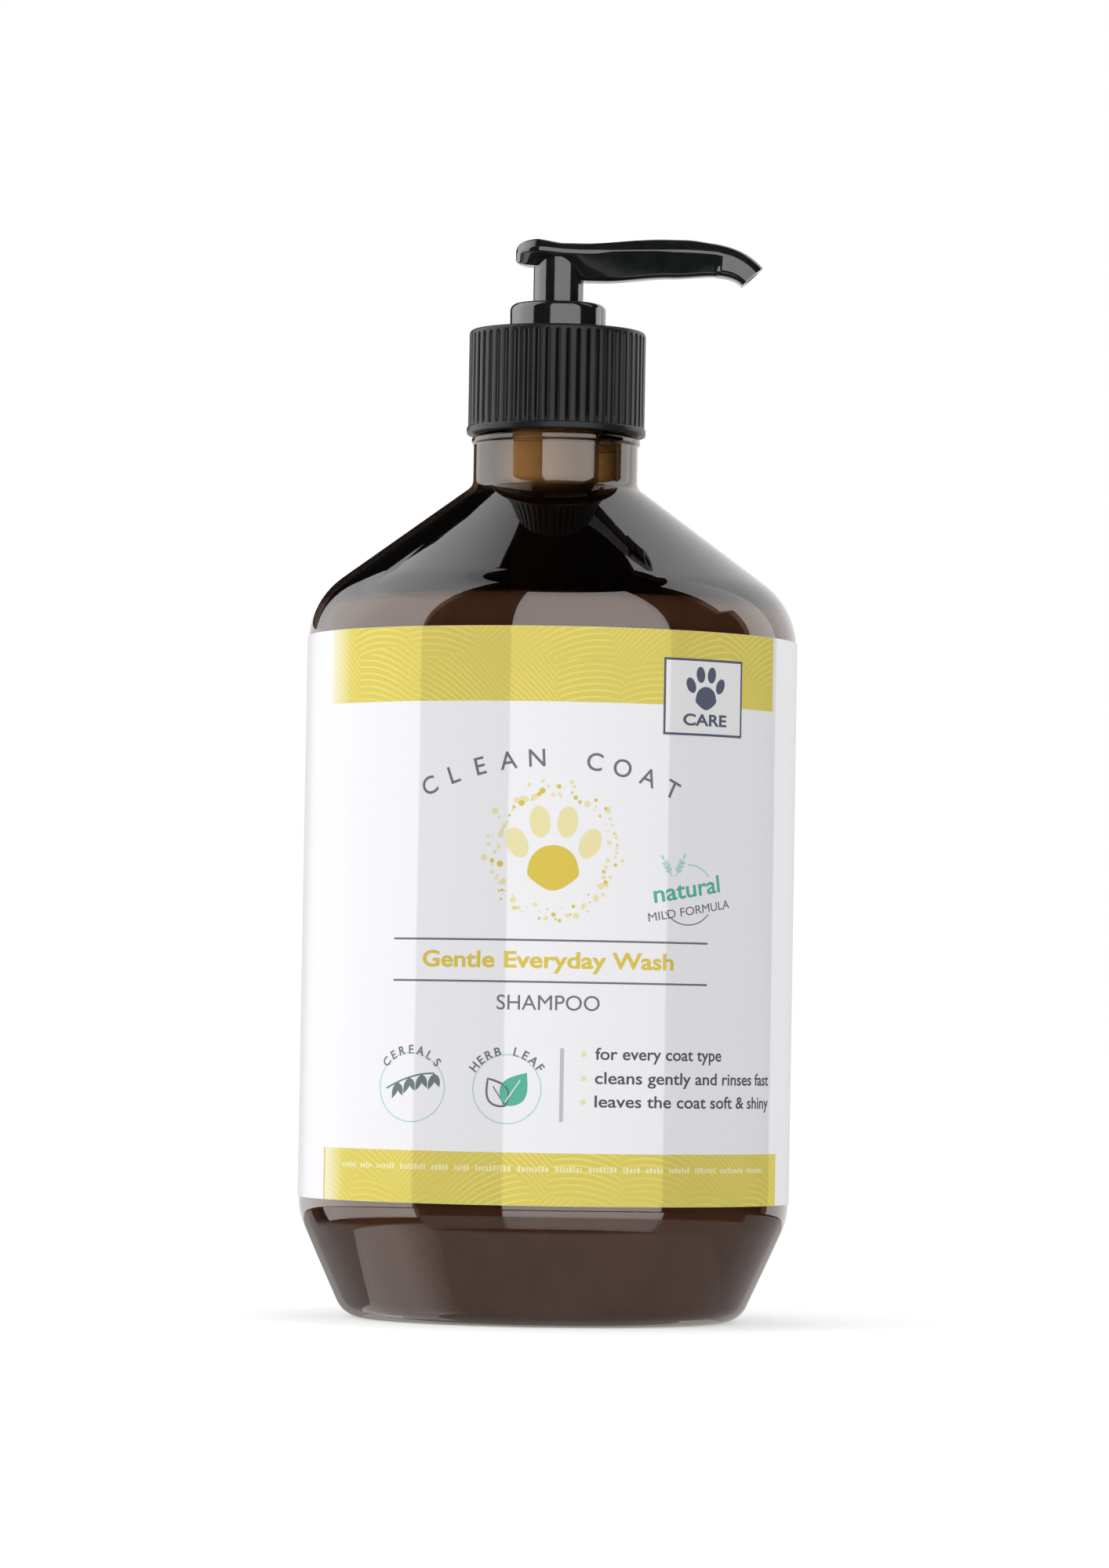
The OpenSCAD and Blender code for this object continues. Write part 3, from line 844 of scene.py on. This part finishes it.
def draw_claims():
    """A bar and three bulleted lines of plain wording."""
    add_print("silver", [bar(2.25, 31.9, 2.85, 43.2)])
    lines = ((42.3, "for every coat type", 22.4), (38.6, "cleans gently and rinses fast", 35.4),
             (35.0, "leaves the coat soft & shiny", 35.4))
    for y, words, width in lines:
        add_print("sand", [disc(5.9, y, 0.42, 16)])
        letter("grey", words, 7.7, y - 0.75, 2.6, 0.03, fit=width, left=True)


def build_print():
    """One raised piece of print for each ink."""
    draw_bands()
    draw_framed_mark()
    draw_emblem()
    draw_titles()
    draw_stamp()
    draw_icons()
    draw_claims()
    solids = {}
    for (ink, layer), polygons in PRINT.items():
        solids.setdefault(ink, []).append(flat_to_solid(polygons_to_bmesh(polygons), LAYER * layer))
    for ink, layer, bm in LETTERS:
        solids.setdefault(ink, []).append(flat_to_solid(bm, LAYER * layer))
    for ink, parts in solids.items():
        verts, faces = merge(*parts)
        new_object("label_print_" + ink, verts, faces, "bottle", INKS[ink], 30)


# ---------- closure and lock ring ----------

RIBS = 52
RIB_DEPTH = 0.45
RIM_H = 1.2
ROOF = 1.2


def rib_radius(r, z, a):
    """Rounded ribs with narrow grooves, between the rim and the plain top band."""
    if r < CLOSURE_R - 0.3:
        return r
    low = ease(z, CLOSURE_Z0 + RIM_H, CLOSURE_Z0 + RIM_H + 0.25)
    high = 1 - ease(z, CLOSURE_Z1 - 1.05, CLOSURE_Z1 - 0.7)
    groove = (1 - abs(math.sin(RIBS * a / 2))) ** 2
    return r - RIB_DEPTH * groove * low * high


def build_closure():
    """The ribbed screw closure with its inner thread."""
    z0, z1, r = CLOSURE_Z0, CLOSURE_Z1, CLOSURE_R
    bore, hole, rim = CLOSURE_BORE_R, CLOSURE_HOLE_R, CLOSURE_R + RIM_OUT
    ceiling = CLOSURE_Z1 - ROOF
    rows = 14
    side = [(r, z0 + RIM_H + 0.3 + (z1 - z0 - RIM_H - 1.3) * k / rows, 0) for k in range(rows + 1)]
    corners = [(bore, z0, 0.15), (rim, z0, 0.3), (rim, z0 + RIM_H, 0.25), (r, z0 + RIM_H + 0.02, 0)]
    corners += side + [(r, z1 - 0.95, 0), (r - 0.03, z1 - 0.7, 0), (r - 0.05, z1, 0.6)]
    corners += [(hole, z1, 0.15), (hole, ceiling, 0), (bore, ceiling, 0.4)]
    body = revolve(outline(corners, steps=5), RIBS * 14, radius_at=rib_radius)
    ridge = sweep(thread_sections(bore + 0.3, CLOSURE_THREAD_R, CLOSURE_THREAD_Z))
    verts, faces = merge(body, ridge)
    closure = new_object("closure_shell", verts, faces, "closure", SATIN, 50)
    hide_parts("closure_cap")


def slot_radius(r, z, a):
    """Opens two slots, at +Y and -Y, in the rim over the lock ring's pocket."""
    if r > RING_HOLE_R + 0.4 or z < POCKET_Z1 - 0.05:
        return r
    off, soft = abs(a % math.pi - math.pi / 2), math.radians(1.5)
    return SLOT_R + (RING_HOLE_R - SLOT_R) * ease(off, SLOT_ARC / 2 - soft, SLOT_ARC / 2 + soft)


def build_lock_collar():
    """The raised ring the head locks into: a round pocket its lugs turn in, under a slotted rim."""
    z0, z1, hole = CLOSURE_Z1 - 1.5, COLLAR_TOP, RING_HOLE_R
    corners = [(RING_FOOT_R, z0, 0.1), (COLLAR_R, z0, 0.1), (COLLAR_R, z1, 1.1), (hole + 0.3, z1, 0.25),
               (hole, z1 - 0.3, 0), (hole, POCKET_Z1, 0), (POCKET_R, POCKET_Z1, 0),
               (POCKET_R, POCKET_Z0, 0), (hole, POCKET_Z0, 0), (hole, z0 + 0.6, 0)]
    verts, faces = revolve(outline(corners, steps=10), 288, radius_at=slot_radius)
    ring = new_object("lock_ring", verts, faces, "pump_core", GLOSS, 45)
    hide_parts("lock_collar")


# ---------- pump head ----------

HEAD_Z = 169.4
SPOUT_REACH = 30.8
BEND = math.radians(48)
BEND_R = 8.5
BEND_X = SPOUT_REACH - BEND_R * math.sin(BEND)
REAR_X = -6.9
REAR_ROUND = 4.5
PASSAGE_R = 1.3


def half_width(x):
    """Half of the spout's width at x."""
    return 4.9 - 1.5 * ease(x, 2, 22) - 0.6 * ease(x, 22, 30)


def rise_above(x):
    """Height of the spout's top over its centre line."""
    return 2.15 + 0.65 * ease(-x, -1, 4) + 0.95 * ease(x, 4, 17) - 0.7 * ease(x, 20, 27)


def drop_below(x):
    """Depth of its underside below that line."""
    return (1.5 + 2.3 * ease(x, -1, 4.5) - 0.8 * ease(x, 7, 18) - 0.4 * ease(x, 18, 25)
            - 0.65 * ease(x, 25, 31.5))


def keel_share(x):
    """Width of the underside over the full width. It widens at the squared-off mouth."""
    return 0.5 + 0.42 * ease(x, 25.2, 26.4)


def shoulder_radius(x):
    """Rounding of the long edges where the spout is widest."""
    return 0.9 - 0.6 * ease(x, 5.5, 9) + 0.35 * ease(x, 15, 20)


def head_section(x, shrink):
    """Points across the spout: (sideways, up). It is widest above its middle and tapers to the keel."""
    keel = keel_share(x)
    round_off = shoulder_radius(x)
    w = half_width(x) * shrink
    up = rise_above(x) * math.sqrt(shrink)
    down = drop_below(x) * math.sqrt(shrink)
    right = [(w, 0.35 * up, round_off * shrink), (0.6 * w, up, 1.3 * shrink)]
    left = [(-p, q, r) for p, q, r in right[::-1]]
    keel_corners = [(-keel * w, -down, 1.1 * shrink), (keel * w, -down, 1.1 * shrink)]
    return outline(right + left + keel_corners, steps=10)


def head_stations():
    """Sections of the head from its round rear, straight along the spout and down round the bend."""
    stations = []
    steps = 16
    for i in range(steps + 1):
        a = math.pi / 2 * i / steps
        x = REAR_X + REAR_ROUND * (1 - math.cos(a))
        shrink = max(0.12, math.sin(a))
        stations.append([(x, p, HEAD_Z + q) for p, q in head_section(x, shrink)])
    start = REAR_X + REAR_ROUND
    steps = 60
    for i in range(1, steps + 1):
        x = start + (BEND_X - start) * i / steps
        stations.append([(x, p, HEAD_Z + q) for p, q in head_section(x, 1)])
    steps = 20
    for i in range(1, steps + 1):
        a = BEND * i / steps
        section = head_section(BEND_X + BEND_R * a, 1)
        stations.append([(BEND_X + (BEND_R + q) * math.sin(a), p,
                          HEAD_Z - BEND_R + (BEND_R + q) * math.cos(a)) for p, q in section])
    return stations


def cylinder_cutter(start, end, radius):
    """A throwaway rod, in millimetres, that cuts a passage."""
    axis = Vector(end) - Vector(start)
    bm = bmesh.new()
    bmesh.ops.create_cone(bm, cap_ends=True, segments=48, radius1=radius * MM, radius2=radius * MM,
                          depth=axis.length * MM)
    mesh = bpy.data.meshes.new("cutter")
    bm.to_mesh(mesh)
    bm.free()
    cutter = place("cutter", mesh)
    cutter.rotation_euler = axis.to_track_quat("Z", "Y").to_euler()
    cutter.location = (Vector(start) + axis / 2) * MM
    return cutter


def cut(obj, cutter):
    """Takes the cutter's shape out of a piece and removes the cutter."""
    modifier = obj.modifiers.new("cut", "BOOLEAN")
    modifier.object = cutter
    modifier.operation = "DIFFERENCE"
    modifier.solver = "EXACT"
    bpy.context.view_layer.update()
    result = bpy.data.meshes.new_from_object(obj.evaluated_get(bpy.context.evaluated_depsgraph_get()))
    obj.modifiers.clear()
    obj.data = result
    bpy.data.objects.remove(cutter)


def build_head():
    """The spout with its passage, and the skirt under it with the two lock lugs."""
    verts, faces = sweep(head_stations())
    shell = new_object("actuator_spout", verts, faces, "head", GLOSS, 50)
    mouth = Vector((SPOUT_REACH, 0, HEAD_Z - BEND_R * (1 - math.cos(BEND))))
    knee = Vector((BEND_X + 0.8, 0, HEAD_Z))
    cut(shell, cylinder_cutter(knee, mouth + (mouth - knee).normalized() * 3, PASSAGE_R))
    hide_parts("actuator_head")
    skirt_top = HEAD_Z - 0.2
    skirt = [(SKIRT_IN, SKIRT_FOOT, 0.1), (SKIRT_OUT, SKIRT_FOOT, 0.2), (SKIRT_OUT, skirt_top, 0),
             (SKIRT_IN, skirt_top, 0)]
    verts, faces = revolve(outline(skirt, steps=5), 128)
    root = SKIRT_OUT - 0.4
    lug = outline([(root, LUG_Z0, 0.05), (LUG_R, LUG_Z0, 0.25), (LUG_R, LUG_Z1, 0.25),
                   (root, LUG_Z1, 0.05)], steps=4)
    steps = 24
    lugs = []
    for side in (math.pi / 2, -math.pi / 2):
        sections = []
        for i in range(steps + 1):
            a = side + LUG_ARC * (i / steps - 0.5)
            sections.append([(r * math.cos(a), r * math.sin(a), z) for r, z in lug])
        lugs.append(sweep(sections))
    verts, faces = merge((verts, faces), *lugs)
    tube = new_object("actuator_skirt", verts, faces, "head", GLOSS, 50)
    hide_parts("actuator_head")


# ---------- spring ----------

def coil_rise(t, closed):
    """Rise of the coil: almost flat in its first and last turn, even between them."""
    return max(0.0, min(1.0, (t - closed * 0.6) / (1 - 1.2 * closed)))


def build_spring():
    """The return spring. It stretches between the fixed pump and the pump's rising middle."""
    z0, z1 = spring_low[2], spring_high[2]
    wire = 0.35
    r = spring_high[0] - wire
    turns, per_turn, sides = 9, 48, 12
    n = turns * per_turn
    round_wire = disc(r, 0, wire, sides)
    sections = []
    for i in range(n + 1):
        a = TAU * turns * i / n
        z = z0 + wire + (z1 - z0 - 2 * wire) * coil_rise(i / n, 1 / turns)
        sections.append([(q * math.cos(a), q * math.sin(a), z + h) for q, h in round_wire])
    verts, faces = sweep(sections)
    spring = new_object("return_spring_wire", verts, faces, None, steel("spring_steel"), 60)
    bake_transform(spring)
    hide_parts("main_spring")


# ---------- scene ----------

def paint_frame_nodes():
    """Materials for the CAD nodes that are shown as they are."""
    paint = {
        "pump_housing": (NATURAL, "natural_polypropylene"),
        "dip_tube": (NATURAL, "natural_polypropylene"),
        "ball_retainer": (NATURAL, "natural_polypropylene"),
        "stem": (NATURAL, "natural_polypropylene"),
        "piston_seat": (NATURAL, "natural_polypropylene"),
        "piston": (PISTON, "piston_ldpe"),
        "inlet_ball": (steel("ball_steel"), "steel"),
        "neck_gasket": (foam(), "gasket_foam"),
    }
    for node, (material, slot) in paint.items():
        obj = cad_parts[node]
        obj.data.materials.clear()
        obj.data.materials.append(material)


# The camera looks along +Y, tipped up a little and rolled a little, as the picture's was.
CAMERA = Vector((0.69, -1020.0, 46.0))
LENS = 146.9
TIP_UP = 2.20
ROLL = 0.97


def build_camera():
    """The picture's own view, from far away through a long lens."""
    data = bpy.data.cameras.new("camera")
    data.sensor_width = 36
    data.sensor_fit = "VERTICAL"
    data.sensor_height = 36
    data.lens = LENS
    data.clip_end = 20
    camera = place("camera", data)
    camera.location = CAMERA * MM
    camera.rotation_mode = "XYZ"
    camera.rotation_euler = (math.radians(90 + TIP_UP), 0, 0)
    camera.rotation_euler.rotate_axis("Z", math.radians(ROLL))
    bpy.context.scene.camera = camera


def emitter(name):
    """Glow that follows the mesh's own glow values."""
    g = Graph(name)
    value = g.add("Attribute", {"attribute_name": "glow"})
    return g.surface(g.add("Emission", Strength=value.outputs["Fac"]))


# Radii of the cards. The near ones stand at and under the floor's level and light only the foot.
FAR, NEAR = 600.0, 120.0


def reflection_card(name, stops, z0, z1, top=1.0, edge=None, radius=FAR):
    """A soft box bent round the bottle that only reflections see.

    stops are (azimuth, glow) pairs, where azimuth 0 faces the front, -Y. top scales the glow at the
    upper edge. edge gives the last azimuth at some heights, for a far side that is cut to a shape.
    """
    columns, rows = 96, 12
    verts, faces, glows = [], [], []
    first, last = stops[0][0], stops[-1][0]
    for i in range(columns + 1):
        azimuth = first + (last - first) * i / columns
        for j in range(rows + 1):
            z = z0 + (z1 - z0) * j / rows
            cut_to = between(edge, z) if edge else last
            a = math.radians(first + (cut_to - first) * i / columns)
            verts.append((radius * math.sin(a) * MM, -radius * math.cos(a) * MM, z * MM))
            glows.append(between(stops, azimuth) * (1 + (top - 1) * j / rows))
    for i in range(columns):
        for j in range(rows):
            k = i * (rows + 1) + j
            faces.append([k, k + rows + 1, k + rows + 2, k + 1])
    mesh = bpy.data.meshes.new(name)
    mesh.from_pydata(verts, [], faces)
    mesh.attributes.new("glow", "FLOAT", "POINT").data.foreach_set("value", glows)
    mesh.materials.append(emitter(name))
    card = place(name, mesh)
    card.visible_camera = False
    card.visible_diffuse = False
    card.visible_shadow = False
    card.visible_transmission = False


def between(stops, x):
    """Straight-line value at x through (x, value) stops that may run either way."""
    for (a, p), (b, q) in zip(stops, stops[1:]):
        if min(a, b) <= x <= max(a, b):
            return p + (q - p) * (x - a) / (b - a)
    return stops[-1][1]


def build_cards():
    """The studio's soft boxes. Those of the left and the front make the long highlights."""
    left = [(-61.5, 3.5), (-112, 3.5), (-150, 1.3), (-152, 1.1)]
    reflection_card("card_left", left, -50, 175)
    reflection_card("card_left_side", left, 175, 600,
                    edge=[(175, -147.5), (480, -147.5), (530, -154), (600, -153)])
    high = [(-61.5, 3.3), (-112, 3.2), (-138, 2.4), (-154, 1.9)]
    reflection_card("card_left_high", high, 600, 1500, 0.6,
                    edge=[(600, -152.2), (700, -150.7), (820, -151.0), (950, -156), (1500, -160)])
    reflection_card("card_left_top", [(-61.5, 1.9), (-150, 1.5)], 1500, 1900, 0.8)
    reflection_card("card_left_foot", [(-53, 3.2), (-110, 2.2)], -15, 6, radius=NEAR)
    reflection_card("card_left_low", [(-60, 0.6), (-85, 1.5), (-150, 1.5)], -1000, -300)
    reflection_card("card_left_rear", [(-150, 1.1), (-180, 0.9)], -50, 175)
    reflection_card("card_left_rear_low", [(-125, 0.45), (-180, 0.25)], -47, 4, radius=NEAR)
    reflection_card("card_front", [(-18.5, 3.3), (55.2, 3.2)], -50, 1150, 0.9)
    reflection_card("card_front_foot", [(-16, 2.7), (49.3, 2.5)], -10, 6, 1.2, radius=NEAR)
    under = [(-52, 0.4), (-16.5, 0.4), (-15.5, 1.2), (49, 1.2), (50, 0.4), (96, 0.4)]
    reflection_card("card_low", under, -49, -10, radius=NEAR)
    reflection_card("card_right", [(127, 1.5), (150, 1.1), (180, 0.8)], -50, 1220, 1.5)
    reflection_card("card_right_rear_low", [(96, 0.4), (180, 0.55)], -47, 4, radius=NEAR)
    reflection_card("card_right_upper", [(93, 3.0), (127, 2.8)], 440, 1130, 0.7)
    reflection_card("card_right_side", [(104, 3.0), (127, 2.8)], 155, 440)


def build_floor():
    """A pale floor that glows a little, so that it runs into the white of the backdrop."""
    size = 30.0
    corners = [(-size, -size, 0), (size, -size, 0), (size, size, 0), (-size, size, 0)]
    mesh = bpy.data.meshes.new("floor")
    mesh.from_pydata(corners, [], [[0, 1, 2, 3]])
    g = Graph("studio_floor")
    cloth = g.add("BsdfDiffuse", Color=(0.58, 0.58, 0.58))
    glow = g.add("Emission", Strength=0.5)
    mesh.materials.append(g.surface(g.add("AddShader", i0=cloth.outputs[0], i1=glow.outputs[0])))
    floor = place("floor", mesh)
    floor.visible_glossy = False


def build_world():
    """White for the camera, a little less for soft light, and almost black for reflections.

    Reflections brighten only far below, past a slanted horizon.
    """
    world = bpy.data.worlds.new("studio")
    bpy.context.scene.world = world
    world.use_nodes = True
    tree = world.node_tree
    tree.nodes.clear()

    def node(kind, *links, **values):
        """Adds a node with its properties, and (socket, number or source) pairs."""
        made = tree.nodes.new("ShaderNode" + kind)
        for key, value in values.items():
            setattr(made, key, value)
        for socket, source in links:
            if isinstance(source, (int, float)):
                made.inputs[socket].default_value = source
            else:
                tree.links.new(source, made.inputs[socket])
        return made

    rays = node("LightPath")
    direction = node("TexCoord").outputs["Generated"]
    horizon_lean = -0.31
    slant = node("VectorMath", (0, direction), operation="DOT_PRODUCT")
    slant.inputs[1].default_value = (0, horizon_lean, 1)
    ground = node("MapRange", ("Value", slant.outputs["Value"]), ("From Min", -0.47),
                  ("From Max", -0.53), ("To Min", 0.01), ("To Max", 0.5)).outputs[0]
    soft = node("MapRange", ("Value", rays.outputs["Is Camera Ray"]), ("To Min", 0.925),
                ("To Max", 1.0)).outputs[0]
    level = node("Mix", (0, rays.outputs["Is Glossy Ray"]), (2, soft), (3, ground),
                 data_type="FLOAT").outputs[0]
    glow = node("Background", ("Strength", level))
    glow.inputs["Color"].default_value = (1, 1, 1, 1)
    out = node("OutputWorld")
    tree.links.new(glow.outputs[0], out.inputs["Surface"])


def area_light(name, energy, size, start, aim):
    """A square soft light at start, in metres, that faces aim and shows in no reflection."""
    data = bpy.data.lights.new(name, "AREA")
    data.energy = energy
    data.size = size
    light = place(name, data)
    light.location = start
    light.rotation_euler = (Vector(aim) - Vector(start)).to_track_quat("-Z", "Y").to_euler()
    light.visible_glossy = False
    return light


def build_lights():
    """A soft key, and a small light that only the pump housing feels, which glows in the amber neck."""
    area_light("key", 7.5, 1.0, (-1.4, -0.8, 0.9), (0, 0, 0.1))
    accent = area_light("accent", 2.2, 0.06, (-0.26, -0.12, 0.138), (0, 0, 0.136))
    only = bpy.data.collections.new("accent_receivers")
    only.objects.link(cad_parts["pump_housing"])
    accent.light_linking.receiver_collection = only


def main():
    build_bottle()
    build_shampoo()
    build_label()
    build_print()
    build_closure()
    build_lock_collar()
    build_head()
    build_spring()
    paint_frame_nodes()
    build_cards()
    build_floor()
    build_world()
    build_lights()
    build_camera()
    bpy.context.scene.view_settings.view_transform = "Standard"


main()
